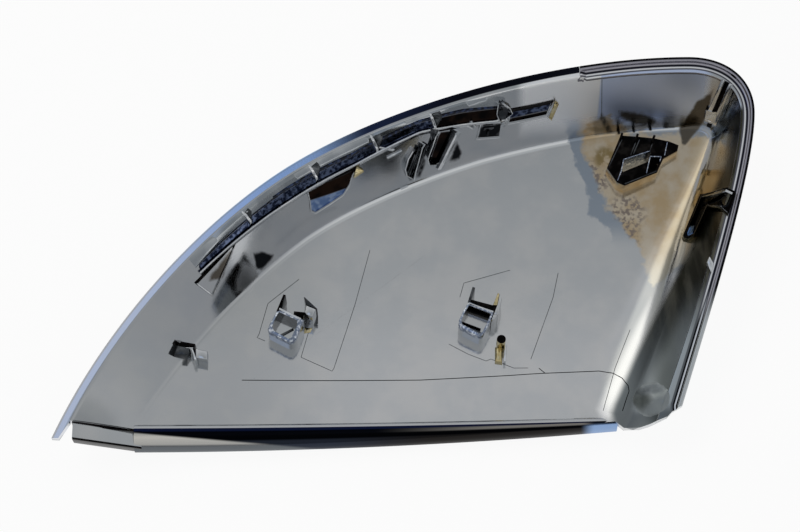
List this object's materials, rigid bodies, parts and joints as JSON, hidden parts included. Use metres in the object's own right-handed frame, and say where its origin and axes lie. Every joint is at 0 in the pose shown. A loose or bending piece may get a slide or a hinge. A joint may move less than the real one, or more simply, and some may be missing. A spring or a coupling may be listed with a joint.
{
  "type": "wing mirror cover",
  "caption": "Chrome-plated moulded cap that snaps over the back of a car's door mirror, lying open side up to show its ribs, pockets and clips.",
  "frame": {"origin": "middle of the plan outline at the lowest point of the convex outer face", "axes": "+X from the narrow tip to the broad end, +Y from the rolled lower edge to the arc, +Z out of the open side"},
  "size_m": [0.2314, 0.1292, 0.0346],
  "materials": {
    "chrome_plate": "bright chrome plating on injection-moulded ABS, thin and dull in the recesses of the inside"
  },
  "bodies": {
    "root": {"cover": "chrome_plate"}
  },
  "joints": []
}
